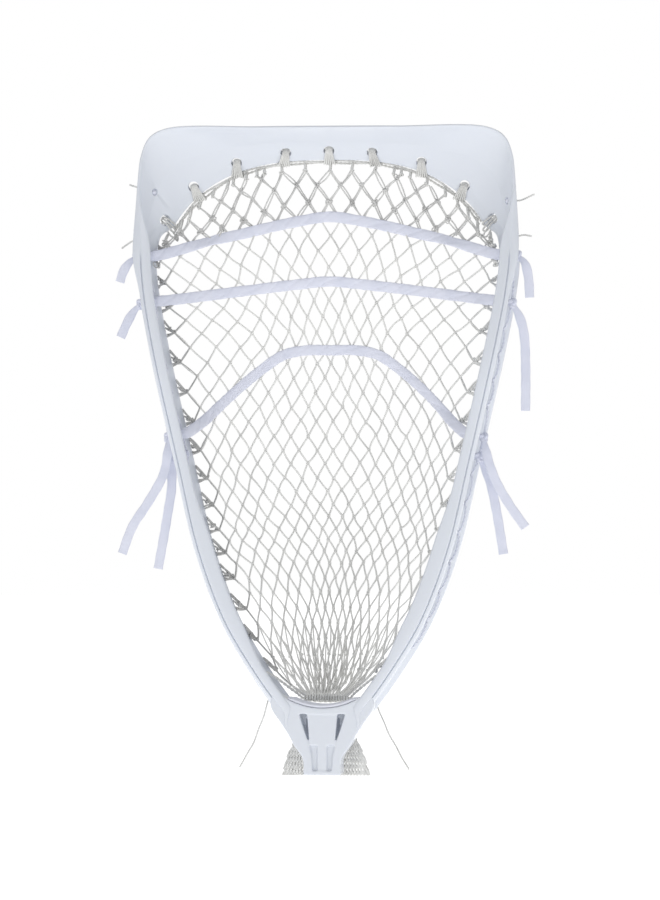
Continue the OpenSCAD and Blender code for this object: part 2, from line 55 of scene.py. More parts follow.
# ---- numbers shared with the CAD frame, in millimetres ---------------------------------------
LENGTH, WIDTH = 508.0, 305.0
WALL, FLANGE, WALL_DEPTH = 3.2, 8.5, 40.0
POCKET, CORD_V, LACE_V, SCOOP_V = 66.0, 13.0, 16.0, 9.0
CORNER_Z, CORNER_V = 420, 22
LEFT_SCOOP_Z, RIGHT_SCOOP_Z, SIDE_V = 475, 460, 30
BOTTOM_CORD_Z, CORD_HOLE_D, LACE_HOLE_D = 72, 4.6, 7.6
HALF = WIDTH / 2
CORD_R = 0.78
OUTLINE = [(0.125, 0.045), (0.190, 0.071), (0.275, 0.102), (0.404, 0.157), (0.547, 0.230),
           (0.686, 0.341), (0.788, 0.470), (0.926, 0.654), (0.981, 0.745), (0.999, 0.811),
           (0.981, 0.915), (0.966, 0.955), (0.924, 0.983), (0.830, 0.998), (0.360, 1.000),
           (0, 1.000), (-0.360, 1.000)]


# ---- small helpers ----------------------------------------------------------------------------
def lerp(a, b, t):
    return a + (b - a) * t


def smooth(t):
    c = np.clip(t, 0, 1)
    return c * c * (3 - 2 * c)


def unit(v):
    v = np.asarray(v, float)
    return v / np.maximum(np.linalg.norm(v, axis=-1, keepdims=True), 1e-12)


def curve_point(a, b, c, d, t):
    lab, lbc, lcd = (math.sqrt(np.linalg.norm(q - p)) + 1e-9 for p, q in ((a, b), (b, c), (c, d)))
    m1 = (c - b) + lbc * ((b - a) / lab - (c - a) / (lab + lbc))
    m2 = (c - b) + lbc * ((d - c) / lcd - (d - b) / (lbc + lcd))
    return ((2 * t**3 - 3 * t**2 + 1) * b + (t**3 - 2 * t**2 + t) * m1
            + (3 * t**2 - 2 * t**3) * c + (t**3 - t**2) * m2)


def curve(points, step):
    pts = [np.asarray(p, float) for p in points]
    out = []
    for i in range(1, len(pts) - 2):
        n = max(1, math.ceil(np.linalg.norm(pts[i + 1] - pts[i]) / step))
        out += [curve_point(pts[i - 1], pts[i], pts[i + 1], pts[i + 2], k / n) for k in range(n)]
    out.append(pts[-2])
    return np.array(out)


def through(points, step):
    p = [np.asarray(q, float) for q in points]
    return curve([2 * p[0] - p[1]] + p + [2 * p[-1] - p[-2]], step)


def directions(path):
    path = np.asarray(path, float)
    ahead = np.vstack([path[1:], path[-1:]])
    behind = np.vstack([path[:1], path[:-1]])
    return unit(ahead - behind)


def lengths(path):
    return np.concatenate([[0], np.cumsum(np.linalg.norm(np.diff(path, axis=0), axis=1))])


# ---- the frame's shape, as in the CAD source ---------------------------------------------------
outline = curve([(p[0] * HALF, p[1] * LENGTH) for p in OUTLINE], 4)
rings = len(outline)
out_dir = directions(outline)
outward = np.stack([out_dir[:, 1], -out_dir[:, 0]], 1)
along = lengths(outline)
spring_z, arch_width, arch_height = 0.768 * LENGTH, 0.882 * HALF, 0.181 * LENGTH
wall_rings = np.where(outward[:, 0] > 0.9)[0]
spring_along = np.interp(np.interp(spring_z, outline[wall_rings, 1], wall_rings), np.arange(rings), along)
arch_part = np.clip((along - spring_along) / (along[-1] - spring_along), 0, 1)
flanged = np.where(outward[:, 0] > 0.5,
                   smooth((outline[:, 1] - outline[0, 1]) / 9)
                   * (1 - smooth((outline[:, 1] - 0.80 * LENGTH) / (0.115 * LENGTH))), 0)
part_up = np.clip((outline[:, 1] - 36) / (LENGTH - 36), 0, 1)
swept = smooth((outline[:, 1] - 300) / (LENGTH - 300))
front_y = -15 + 6 * np.sin(np.pi * part_up) ** 2 + 34 * swept
inset = lerp(WALL / 2, FLANGE, flanged)[:, None]
front_xz = outline - outward * inset
front = np.stack([front_xz[:, 0], front_y, front_xz[:, 1]], 1)
rail_y = lerp(15, WALL_DEPTH - 9, smooth((outline[:, 1] - 36) / 150)) + 12 * swept
rail_y = lerp(rail_y, 48, smooth(arch_part))
arch_angle = arch_part * np.pi / 2
arch = np.stack([arch_width * np.maximum(0, np.cos(arch_angle)) ** (2 / 2.7),
                 spring_z + arch_height * np.sin(arch_angle) ** (2 / 1.85)], 1)
rail_xz = lerp(outline - outward * FLANGE, arch, smooth(arch_part * 3.2)[:, None])
rail = np.stack([rail_xz[:, 0], rail_y, rail_xz[:, 1]], 1)
depth = np.linalg.norm(rail - front, axis=1)
depth_dir = unit(rail - front)
ring_normal = unit(np.cross(depth_dir, np.stack([out_dir[:, 0], 0 * along, out_dir[:, 1]], 1)))
groove = np.clip((0.807 * LENGTH - outline[:, 1]) / 8, 0, 1)
DISH = 4.5
T2 = WALL / 2
WEB_LEAN = 2.0
REACH = FLANGE - 0.3 - WEB_LEAN
RAIL_INWARD = 9.2
lip = 7 + 4 * smooth((225 - outline[:, 1]) / 50) * (1 - smooth((110 - outline[:, 1]) / 35))
rim = 4.4 + 3.6 * smooth((outline[:, 1] - 370) / 40)


def ring_section(k, g, lip_in, out, d):
    """[outward, depth] points of the frame's section: rim with its groove, web and back rail."""
    return np.array([
        [-lerp(T2 - 0.2, lip_in, k), lerp(1.2, 1.6, k)],
        [-lerp(T2 - 0.8, lip_in - 1.2, k), lerp(0, -0.5, k)],
        [lerp(T2 - 0.9, 0.35, k), lerp(0, -0.5, k)],
        [lerp(T2 - 0.7, 0.95, k), lerp(0.2, lerp(0.1, 1.8, g), k)],
        [lerp(T2 - 0.5, 1.7, k), lerp(0.5, 0.1, k)],
        [lerp(T2 - 0.2, out - 0.6, k), lerp(1.4, 1.6, k)],
        [lerp(T2, out, k), lerp(3, 5, k)],
        [T2, lerp(6, 8.6, k)],
        [T2, d / 2],
        [T2, d - 10.5],
        [lerp(T2, REACH, k), d - 6],
        [lerp(T2 - 0.2, REACH, k), d - 1.4],
        [lerp(T2 - 0.8, REACH - 1.2, k), d],
        [-lerp(T2 - 0.8, RAIL_INWARD - 1.1, k), d],
        [-lerp(T2 - 0.2, RAIL_INWARD, k), d - 1.6],
        [-lerp(T2, RAIL_INWARD, k), d - 4],
        [-T2, d - 8],
        [-T2, d / 2],
        [-T2, lerp(6, 7, k)]])


def skewed(k, v):
    """How far the web stands out at part v of its depth: it leans, and the plain sheet is dished."""
    return k * WEB_LEAN * v + (1 - k) * DISH * 4 * v * (1 - v)


def rounded(poly, r):
    """The same closed polygon with each corner replaced by three points of a small arc."""
    out = []
    n = len(poly)
    for i in range(n):
        a, p, b = poly[i - 1], poly[i], poly[(i + 1) % n]
        la, lb = np.linalg.norm(a - p), np.linalg.norm(b - p)
        ra, rb = min(r, 0.38 * la), min(r, 0.38 * lb)
        pa, pb = p + (a - p) / la * ra, p + (b - p) / lb * rb
        out += [pa, 0.25 * pa + 0.5 * p + 0.25 * pb, pb]
    return np.array(out)


def ring_points(i):
    s = rounded(ring_section(flanged[i], groove[i], lip[i], rim[i], depth[i]), 0.8)
    v = np.clip(s[:, 1] / depth[i], 0, 1)
    out = s[:, 0] + skewed(flanged[i], v)
    return front[i] + ring_normal[i] * out[:, None] + depth_dir[i] * s[:, 1:2]


wall_part = np.where(outward[:, 0] > 0.5)[0]
arch_rings = np.where(arch_part > 0.05)[0][::-1]


def ring_at_height(z):
    return np.interp(z, outline[wall_part, 1], wall_part)


def ring_at_width(x):
    return np.interp(x, rail[arch_rings, 0], arch_rings)


LAST_RING = rings - 1.001


def at(a, r):
    """The value of a at ring r, which may lie between two rings."""
    i = int(np.clip(math.floor(r), 0, rings - 2))
    return lerp(a[i], a[i + 1], r - i)


def place(r, u, v):
    d = at(depth, r)
    part = np.clip((d - v) / d, 0, 1)
    return (at(front, r) + at(ring_normal, r) * (u + skewed(at(flanged, r), part))
            + at(depth_dir, r) * (d - v))


def place_at(z, u, v):
    return place(ring_at_height(z), u, v)


def sided(side, p):
    return np.asarray(p) * np.array([side, 1, 1])


# ---- the pocket's surface ----------------------------------------------------------------------
MESH_BOTTOM = 60.0
rail_out = directions(rail[:, [0, 2]])
rail_out = np.stack([rail_out[:, 1], 0 * along, -rail_out[:, 0]], 1)
edge_rings = np.arange(ring_at_height(88), rings - 1, 1.5)
mesh_edge = [(17, 19.5, MESH_BOTTOM), (29, 14, 69)]
for r in edge_rings:
    over = smooth(at(arch_part, r) * 2)
    mesh_edge.append(at(rail, r) - unit(at(rail_out, r)) * lerp(7, 7.5, over)
                     - np.array([0, lerp(CORD_V, 3, over), 0]))
mesh_edge = np.array(mesh_edge)
mesh_top = mesh_edge[-1, 2] - 0.6
order = np.argsort(mesh_edge[:, 2])
edge_z, edge_x, edge_y = mesh_edge[order, 2], mesh_edge[order, 0], mesh_edge[order, 1]


def pocket_y(x, z):
    t = np.clip((z - MESH_BOTTOM) / (mesh_top - MESH_BOTTOM), 0, 1)
    across = np.clip(abs(x) / np.interp(z, edge_z, edge_x), 0, 1)
    return np.interp(z, edge_z, edge_y) + (POCKET + CORD_V) * np.sin(np.pi * t**0.486) * (1 - across**2.3)


def pocket_face(x, z, e=2.0):
    return unit([(pocket_y(x + e, z) - pocket_y(x - e, z)) / (2 * e), -1,
                 (pocket_y(x, z + e) - pocket_y(x, z - e)) / (2 * e)])


# ---- mesh building -----------------------------------------------------------------------------
class Builder:
    """Collects swept rings with UVs (u round the section, v along it in centimetres)."""

    def __init__(self):
        self.v, self.f, self.uv, self.n = [], [], [], 0

    def rings(self, pts, vpos, caps=True, closed=False):
        rows, m, _ = pts.shape
        base = self.n
        self.v.append(pts.reshape(-1, 3))
        self.n += rows * m
        last = rows if closed else rows - 1
        for i in range(last):
            j = (i + 1) % rows
            v0, v1 = vpos[i], vpos[i + 1] if i + 1 < len(vpos) else vpos[-1] + (vpos[1] - vpos[0])
            for k in range(m):
                k2 = (k + 1) % m
                self.f.append((base + i * m + k, base + i * m + k2, base + j * m + k2, base + j * m + k))
                self.uv += [(k / m, v0), ((k + 1) / m, v0), ((k + 1) / m, v1), (k / m, v1)]
        if caps and not closed:
            for row, turn in ((0, -1), (rows - 1, 1)):
                face = [base + row * m + k for k in range(m)][::turn]
                self.f.append(tuple(face))
                self.uv += [(0.5, vpos[row])] * m

    def tube(self, path, radius, sides=6, caps=True, closed=False):
        """A round cord. radius is one number or one for each point."""
        path = np.asarray(path, float)
        if closed:
            ahead, behind = np.roll(path, -1, 0), np.roll(path, 1, 0)
            d = unit(ahead - behind)
        else:
            d = directions(path)
        r = np.broadcast_to(np.asarray(radius, float), (len(path),))
        n = np.empty_like(path)
        start = np.array([0.0, -1.0, 0.0]) if abs(d[0][1]) < 0.9 else np.array([1.0, 0, 0])
        cur = start
        for i in range(len(path)):
            cur = unit(cur - (cur @ d[i]) * d[i])
            n[i] = cur
        b = np.cross(d, n)
        a = np.linspace(0, 2 * np.pi, sides, endpoint=False)
        pts = path[:, None] + r[:, None, None] * (n[:, None] * np.cos(a)[None, :, None]
                                                 + b[:, None] * np.sin(a)[None, :, None])
        self.rings(pts, lengths(path) / 10, caps, closed)

    def band(self, path, faces, section):
        """A flat strip. section(i) gives (side, thickness) points at point i of the path."""
        path = np.asarray(path, float)
        d = directions(path)
        f = unit(faces - np.sum(faces * d, 1, keepdims=True) * d)
        s = np.cross(d, f)
        pts = []
        for i in range(len(path)):
            q = section(i)
            pts.append(path[i] + s[i] * q[:, :1] + f[i] * q[:, 1:])
        self.rings(np.array(pts), lengths(path) / 10)

    def object(self, name, material, smooth_angle=50):
        me = bpy.data.meshes.new(name)
        me.from_pydata((np.vstack(self.v) * MM).tolist(), [], self.f)
        layer = me.uv_layers.new(name="UVMap")
        layer.data.foreach_set("uv", np.array(self.uv, np.float32).ravel())
        me.validate()
        me.update()
        me.materials.append(material)
        return finish_mesh(me, name, smooth_angle)


def finish_mesh(me, name, smooth_angle=40):
    me.polygons.foreach_set("use_smooth", [True] * len(me.polygons))
    me.set_sharp_from_angle(angle=math.radians(smooth_angle))
    ob = bpy.data.objects.new(name, me)
    bpy.context.scene.collection.objects.link(ob)
    return ob


def plain_object(name, verts, faces):
    me = bpy.data.meshes.new(name)
    me.from_pydata([tuple(v) for v in np.asarray(verts, float) * MM], [], faces)
    me.update()
    ob = bpy.data.objects.new(name, me)
    bpy.context.scene.collection.objects.link(ob)
    return ob


def closed_solid(name, verts, faces):
    """A closed mesh with all its faces turned outwards."""
    ob = plain_object(name, verts, faces)
    bm = bmesh.new()
    bm.from_mesh(ob.data)
    bmesh.ops.recalc_face_normals(bm, faces=bm.faces)
    bm.to_mesh(ob.data)
    bm.free()
    return ob


def prism_faces(n):
    """Faces of a prism whose vertices are one outline of n points, then the other."""
    ends = [tuple(range(n)), tuple(reversed(range(n, 2 * n)))]
    return ends + [((i + 1) % n, i, i + n, (i + 1) % n + n) for i in range(n)]


def prism(name, shape, y1, y2):
    """A flat shape in the head's plane, made solid between two depths."""
    n = len(shape)
    area = sum(shape[i][0] * shape[(i + 1) % n][1] - shape[(i + 1) % n][0] * shape[i][1] for i in range(n))
    if area < 0:
        shape = shape[::-1]
    verts = [(x, y1, z) for x, z in shape] + [(x, y2, z) for x, z in shape]
    return closed_solid(name, verts, prism_faces(n))


def revolve(name, profile, origin, axis, sides=32):
    """A closed solid turned from (radius, position) pairs about an axis."""
    axis = unit(axis)
    side = unit(np.cross(axis, [0.3, 1, 0.2]))
    up = np.cross(axis, side)
    a = np.linspace(0, 2 * np.pi, sides, endpoint=False)
    ring = side * np.cos(a)[:, None] + up * np.sin(a)[:, None]
    verts = np.vstack([np.asarray(origin) + axis * h + ring * r for r, h in profile])
    rows = len(profile)
    faces = [tuple(reversed(range(sides)))]
    for i in range(rows - 1):
        faces += [(i * sides + k, i * sides + (k + 1) % sides, (i + 1) * sides + (k + 1) % sides,
                   (i + 1) * sides + k) for k in range(sides)]
    faces.append(tuple(range((rows - 1) * sides, rows * sides)))
    return closed_solid(name, verts, faces)


def applied(ob):
    """Applies every modifier of an object to its mesh."""
    dg = bpy.context.evaluated_depsgraph_get()
    me = bpy.data.meshes.new_from_object(ob.evaluated_get(dg))
    old = ob.data
    ob.modifiers.clear()
    ob.data = me
    bpy.data.meshes.remove(old)
    return ob


def drop(*obs):
    for o in obs:
        me = o.data
        bpy.data.objects.remove(o)
        bpy.data.meshes.remove(me)


def joined(name, obs):
    verts, faces, base = [], [], 0
    for o in obs:
        verts += [tuple(v.co / MM) for v in o.data.vertices]
        faces += [tuple(i + base for i in p.vertices) for p in o.data.polygons]
        base += len(o.data.vertices)
    drop(*obs)
    return plain_object(name, verts, faces)


def combine(ob, other, how):
    m = ob.modifiers.new("b", "BOOLEAN")
    m.object, m.operation, m.solver = other, how, "MANIFOLD"
    applied(ob)
    drop(other)
    return ob


# ---- materials ---------------------------------------------------------------------------------
class Nodes:
    """A short way to write a node material."""

    def __init__(self, name):
        self.mat = bpy.data.materials.new(name)
        self.mat.use_nodes = True
        self.tree = self.mat.node_tree
        self.bsdf = next(n for n in self.tree.nodes if n.type == "BSDF_PRINCIPLED")

    def add(self, kind, **values):
        node = self.tree.nodes.new(kind)
        for key, value in values.items():
            if key in node.inputs.keys():
                node.inputs[key].default_value = value
            else:
                setattr(node, key, value)
        return node

    def link(self, a, b):
        self.tree.links.new(a, b)

    def math(self, op, a, b=0.0, c=0.0):
        node = self.add("ShaderNodeMath", operation=op)
        for i, x in enumerate((a, b, c)):
            if hasattr(x, "is_linked") or hasattr(x, "links"):
                self.link(x, node.inputs[i])
            else:
                node.inputs[i].default_value = x
        return node.outputs[0]

    def coords(self, which="Object"):
        return self.add("ShaderNodeTexCoord").outputs[which]

    def noise(self, vector, scale, detail=3.0, rough=0.5):
        n = self.add("ShaderNodeTexNoise", Scale=scale, Detail=detail, Roughness=rough)
        self.link(vector, n.inputs["Vector"])
        return n.outputs["Fac"]

    def ramp(self, fac, stops):
        n = self.add("ShaderNodeValToRGB")
        el = n.color_ramp.elements
        while len(el) < len(stops):
            el.new(0.5)
        for e, (pos, col) in zip(el, stops):
            e.position = pos
            e.color = (*col, 1) if len(col) == 3 else col
        self.link(fac, n.inputs["Fac"])
        return n.outputs["Color"]

    def mix(self, fac, a, b):
        n = self.add("ShaderNodeMix", data_type="RGBA")
        if hasattr(fac, "links"):
            self.link(fac, n.inputs["Factor"])
        else:
            n.inputs["Factor"].default_value = fac
        for sock, x in ((n.inputs["A"], a), (n.inputs["B"], b)):
            if hasattr(x, "links"):
                self.link(x, sock)
            else:
                sock.default_value = (*x, 1)
        return n.outputs["Result"]

    def bump(self, height, strength, distance, normal=None):
        n = self.add("ShaderNodeBump", Strength=strength, Distance=distance)
        self.link(height, n.inputs["Height"])
        if normal is not None:
            self.link(normal, n.inputs["Normal"])
        return n.outputs["Normal"]

    def set(self, name, value):
        sock = self.bsdf.inputs[name]
        if hasattr(value, "links"):
            self.link(value, sock)
        else:
            sock.default_value = value


def moulded(name, low, high, rough, coat=0.35, grain=0.02):
    """Glossy moulded nylon: a very faint cloudiness, fine grain and light handling marks."""
    n = Nodes(name)
    p = n.coords()
    broad = n.noise(p, 7, 2)
    fine = n.noise(p, 700, 2)
    marks = n.noise(p, 35, 3, 0.6)
    n.set("Base Color", n.mix(broad, low, high))
    n.set("Roughness", n.math("ADD", n.math("MULTIPLY", marks, 0.06), rough))
    n.set("Normal", n.bump(fine, grain, 0.0003))
    n.set("Coat Weight", coat)
    n.set("Coat Roughness", 0.10)
    n.set("Subsurface Weight", 0.06)
    n.set("Subsurface Radius", (0.004, 0.004, 0.005))
    n.set("Specular IOR Level", 0.5)
    return n.mat


def braided(name, low, high, around, pitch, strength, rough=0.85):
    """Braided cord or woven lace: two sets of slanted ribs that cross, with painted shade in the gaps
    between them, and fuzz.
    around is the number of ribs round the section, pitch the ribs' advance in centimetres."""
    n = Nodes(name)
    uv = n.add("ShaderNodeSeparateXYZ")
    n.link(n.coords("UV"), uv.inputs[0])
    u = n.math("MULTIPLY", uv.outputs[0], 2 * math.pi * around)
    v = n.math("MULTIPLY", uv.outputs[1], 2 * math.pi / pitch)
    one = n.math("SINE", n.math("ADD", u, v))
    two = n.math("SINE", n.math("SUBTRACT", u, v))
    ribs = n.math("MAXIMUM", one, two)
    p = n.coords()
    fuzz = n.noise(p, 1500, 3, 0.7)
    patch = n.noise(p, 70, 4)
    cloudy = n.math("ADD", n.math("MULTIPLY", fuzz, 0.4), patch)
    # the troughs between ribs come out darker: painted shade between the strands, over a random cloudy
    # tone
    shade = n.math("ADD", n.math("MULTIPLY", ribs, 0.3), cloudy)
    n.set("Base Color", n.ramp(shade, [(0.35, low), (1.15, high)]))
    n.set("Roughness", n.math("ADD", n.math("MULTIPLY", fuzz, 0.2), rough - 0.1))
    n.set("Normal", n.bump(n.math("ADD", ribs, fuzz), strength, 0.0002))
    n.set("Sheen Weight", 0.25)
    n.set("Sheen Roughness", 0.6)
    n.set("Specular IOR Level", 0.25)
    return n.mat


def foam(name):
    n = Nodes(name)
    p = n.coords()
    cell = n.add("ShaderNodeTexVoronoi", Scale=900.0)
    n.link(p, cell.inputs["Vector"])
    n.set("Base Color", n.mix(n.noise(p, 120, 4), (0.70, 0.72, 0.80), (0.80, 0.82, 0.90)))
    n.set("Roughness", 0.9)
    n.set("Normal", n.bump(cell.outputs["Distance"], 0.35, 0.0003))
    return n.mat


PLASTIC = moulded("moulded_nylon", (0.70, 0.735, 0.80), (0.72, 0.755, 0.82), 0.27)
FOAM = foam("closed_cell_foam")
NET = braided("net_cord", (0.56, 0.56, 0.55), (0.88, 0.88, 0.86), 3, 0.16, 0.4)
TIES = braided("doubled_cord", (0.40, 0.40, 0.395), (0.76, 0.76, 0.75), 3, 0.16, 0.5)
STRING = braided("stringing_cord", (0.50, 0.50, 0.49), (0.84, 0.84, 0.82), 4, 0.22, 0.5)
WHITE_CORD = braided("white_cord", (0.64, 0.67, 0.78), (0.79, 0.81, 0.90), 4, 0.22, 0.4)
# a darker copy of the net cord: painted shade for the hitches that lie in the left wall's shadow
HITCH_PAINTED_SHADE = braided("hitch_cord_painted_shade", (0.28, 0.28, 0.275), (0.62, 0.62, 0.61), 4, 0.22, 0.5)
LACE = braided("woven_lace", (0.66, 0.69, 0.82), (0.79, 0.81, 0.92), 14, 0.12, 0.45)


def attach(ob, body, slot, *nodes):
    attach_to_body(ob, body)
    if nodes:
        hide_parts(*nodes)
    return ob


# ---- head frame --------------------------------------------------------------------------------
def wall_shell():
    half = [ring_points(i)[::-1] for i in range(rings)]
    other = [sided(-1, p)[:] for p in half[-2::-1]]
    loop = np.array(half + other)
    rows, m, _ = loop.shape
    faces = [tuple(range(m - 1, -1, -1))]
    for i in range(rows - 1):
        for k in range(m):
            k2 = (k + 1) % m
            faces.append((i * m + k, i * m + k2, (i + 1) * m + k2, (i + 1) * m + k))
    faces.append(tuple(range((rows - 1) * m, rows * m)))
    return plain_object("shell", loop.reshape(-1, 3), faces)


def both_sides(side):
    return list(side) + [(-x, z) for x, z in reversed(side)]


NECK_SIDE = [(14.6, 0), (14.6, 10), (16.2, 15), (21.6, 22.5), (27.2, 32.5), (33.5, 42), (39, 50),
             (40.5, 56), (37, 67)]
WINDOW = [(7.4, 3), (8.6, 16), (11, 26), (14.4, 36), (18, 47.5)]
NECK_FRONT, NECK_BACK, AHEAD = -14.6, 15, -17
WINDOW_FLOOR, GAP_FLOOR, SLOT_FLOOR = -12.9, -5, -12.2
BLOCK = [(-9.9, 23), (9.9, 23), (11.9, 48), (-11.9, 48)]
RIB = [(-3.8, 2), (3.8, 2), (3.8, 24), (-3.8, 24)]
RAISED_FRONT, RAISED_BACK = -14.2, -11.8
SOCKET_DEPTH, SCREW_HOLE_R, SCREW_HOLE_Z = 44, 2.2, 8
THROAT_Z, THROAT_R = 108, 56


def smooth_side(points, step=2.0):
    return [tuple(p) for p in through([(x, z) for x, z in points], step)]


def neck():
    body = prism("neck", both_sides(smooth_side(NECK_SIDE)), NECK_FRONT, NECK_BACK)
    throat = revolve("c", [(THROAT_R, -40), (THROAT_R, 40)], (0, 0, THROAT_Z), (0, 1, 0), 160)
    combine(body, throat, "DIFFERENCE")
    window = smooth_side(WINDOW)
    combine(body, prism("c", both_sides(window), AHEAD, WINDOW_FLOOR), "DIFFERENCE")
    # deep gaps either side of the raised block, and slots either side of the rib
    for side in (-1, 1):
        gap = [(side * (x - 0.1), z) for x, z in window if z > 24]
        gap += [(side * 11.9, 47.5), (side * 10.0, 24)]
        combine(body, prism("c", gap, AHEAD, GAP_FLOOR), "DIFFERENCE")
        slot = [(side * x, z) for x, z in window if z < 24] + [(side * 3.8, 23), (side * 3.8, 3.4)]
        combine(body, prism("c", slot, AHEAD, SLOT_FLOOR), "DIFFERENCE")
    for raised in (BLOCK, RIB):
        combine(body, prism("c", raised, RAISED_FRONT, RAISED_BACK), "UNION")
    combine(body, prism("c", both_sides(window), 13, 18), "DIFFERENCE")
    w, d, c = 12.9, 11.5, 6.5
    octagon = [(w, d - c), (w - c, d), (c - w, d), (-w, d - c),
               (-w, c - d), (c - w, -d), (w - c, -d), (w, c - d)]
    verts = [(x, y, -1) for x, y in octagon] + [(x, y, SOCKET_DEPTH) for x, y in octagon]
    combine(body, closed_solid("c", verts, prism_faces(len(octagon))), "DIFFERENCE")
    screw_hole = revolve("c", [(SCREW_HOLE_R, -5), (SCREW_HOLE_R, 5)], (14.6, 0, SCREW_HOLE_Z), (1, 0, 0))
    combine(body, screw_hole, "DIFFERENCE")
    # the moulding's edges are soft
    remesh = body.modifiers.new("remesh", "REMESH")
    remesh.mode, remesh.voxel_size = "VOXEL", 0.55 * MM
    soften = body.modifiers.new("soften", "SMOOTH")
    soften.factor, soften.iterations = 0.5, 5
    return applied(body)


def hole_cutters():
    cutters = []

    def cut(r, v, d, side):
        t, flare = WALL / 2, 0.7
        half = [(d / 2, t - flare), (d / 2 + flare, t + 0.1), (d / 2 + flare, 3 * t)]
        profile = [(radius, -h) for radius, h in half[::-1]] + half
        centre, axis = sided(side, place(r, 0, v)), sided(side, at(ring_normal, r))
        cutters.append(revolve("cut", profile, centre, axis, 28))

    for side in (-1, 1):
        for z in [BOTTOM_CORD_Z] + CORD_HEIGHTS:
            cut(ring_at_height(z), CORD_V, CORD_HOLE_D, side)
        for z in LACE_HEIGHTS:
            cut(ring_at_height(z), LACE_V, LACE_HOLE_D, side)
        cut(ring_at_height(CORNER_Z), CORNER_V, CORD_HOLE_D, side)
        cut(ring_at_height(LEFT_SCOOP_Z if side < 0 else RIGHT_SCOOP_Z), SIDE_V, CORD_HOLE_D, side)
        for x in SCOOP_HOLES:
            if x > 0 or side > 0:
                cut(ring_at_width(x), SCOOP_V, LACE_HOLE_D, side)
    return joined("cutters", cutters)


CORD_HEIGHTS = [95 + 23 * i for i in range(7)] + [286 + 20 * i for i in range(4)] + [388]
LACE_HEIGHTS = [405, 367, 262, 247]
SCOOP_HOLES = [0, 36, 73, 104, 125]

shell = wall_shell()
combine(shell, neck(), "UNION")
combine(shell, hole_cutters(), "DIFFERENCE")
shell.name = "head_shell"
shell.data.materials.clear()
shell.data.materials.append(PLASTIC)
shell.data.polygons.foreach_set("use_smooth", [True] * len(shell.data.polygons))
shell.data.set_sharp_from_angle(angle=math.radians(42))
attach(shell, "head", "head_plastic", "head_frame")


# ---- ball stop -----------------------------------------------------------------------------------
def ball_stop():
    b = Builder()
    n, radius, pad, half_depth, half_angle = 41, THROAT_R - 0.2, 2.2, 14.0, math.radians(29.3)
    angles = np.linspace(-half_angle, half_angle, n)
    section = rounded(np.array([[-half_depth, 0], [-half_depth, pad],
                                [half_depth, pad], [half_depth, 0]]), 1.0)
    pts = []
    for a in angles:
        out = np.array([math.sin(a), 0, -math.cos(a)])
        c = np.array([0, 0, THROAT_Z]) + out * radius
        fade = smooth((half_angle - abs(a)) / 0.09) * 0.75 + 0.25
        pts.append([c + np.array([0, s[0], 0]) - out * s[1] * fade for s in section])
    b.rings(np.array(pts), np.arange(n) * 0.15)
    return b.object("ball_stop_pad", FOAM, 60)


attach(ball_stop(), "head", "foam", "ball_stop")

# ---- net -----------------------------------------------------------------------------------------
OUTER = 8               # number of the net's outermost column, each way from the middle
SPARE_ROWS = 4          # half rows drawn above the scoop's edge, then cut off by it
TOP_ROW = 12.9          # height of a half row near the scoop
LEVEL_Z = 342.0         # up to here the rows are level from side to side
SIDE_SHARE = 0.78       # above it, how high a row at the side is for one in the middle
CLEAR = 7.5             # distance of the net's side nodes from the line of the cord
BUNCHED_Z = 120         # below this the rows close up evenly on the gathered bottom
# cell widths from the middle to the side, each row taken at one height of LEVELS
LEVELS = [60, 100, 182, 242, 342, 378, 430, 480]
WIDTHS = np.array([
    [1, 1, 1, 1, 1, 1, 1, 1],
    [1, 1, 1.05, 1.18, 1.32, 1.45, 1.45, 1.45],
    [1, 1.04, 1.16, 1.22, 1.20, 1.12, 1.04, 1],
    [1, 1, 0.95, 0.91, 0.86, 0.80, 0.75, 0.75],
    [1, 1, 1.09, 1.17, 1.44, 1.75, 1.83, 1.96],
    [1, 1.01, 1.04, 1.14, 1.27, 1.42, 1.52, 1.55],
    [1, 1, 0.98, 0.98, 0.98, 0.98, 0.98, 0.98],
    [1, 1, 0.95, 0.91, 0.91, 0.86, 0.86, 0.86]])
CUMULATIVE = np.hstack([np.zeros((len(LEVELS), 1)), np.cumsum(WIDTHS, 1)])
CUMULATIVE /= CUMULATIVE[:, -1:]


def across_part(k, z):
    """How far out column k lies (0 the middle, OUTER the side), as a part of the half width."""
    shares = [np.interp(abs(k), np.arange(OUTER + 1), row) for row in CUMULATIVE]
    return math.copysign(np.interp(z, LEVELS, shares), k)


def row_height(z):
    """Height of a half row of cells in the middle of the net."""
    return np.interp(z, [60, 90, 150, 165, 180, 200, 240, 333, 385, 471],
                     [8, 11.8, 12.0, 9.5, 8.8, 10, 11, 12.1, TOP_ROW, TOP_ROW])


row_z = [mesh_top + SPARE_ROWS * TOP_ROW]
while row_z[-1] > MESH_BOTTOM + 4:
    row_z.append(row_z[-1] - row_height(row_z[-1] - 6))
ROWS = len(row_z) - 1
ROWS -= ROWS % 2
row_z = np.array(row_z[:ROWS + 1])
part_down = (row_z - row_z[-1]) / (BUNCHED_Z - row_z[-1])
row_z = np.where(row_z < BUNCHED_Z, lerp(MESH_BOTTOM, BUNCHED_Z, part_down), row_z)

arch_x, arch_z = mesh_edge[mesh_edge[:, 2] > spring_z - 4][:, [0, 2]].T
wide_x = float(np.interp(spring_z, edge_z, edge_x))


def top_edge(x):
    """Height at which the net meets the scoop, x out from the middle."""
    return float(np.interp(abs(x), arch_x[::-1], arch_z[::-1]))


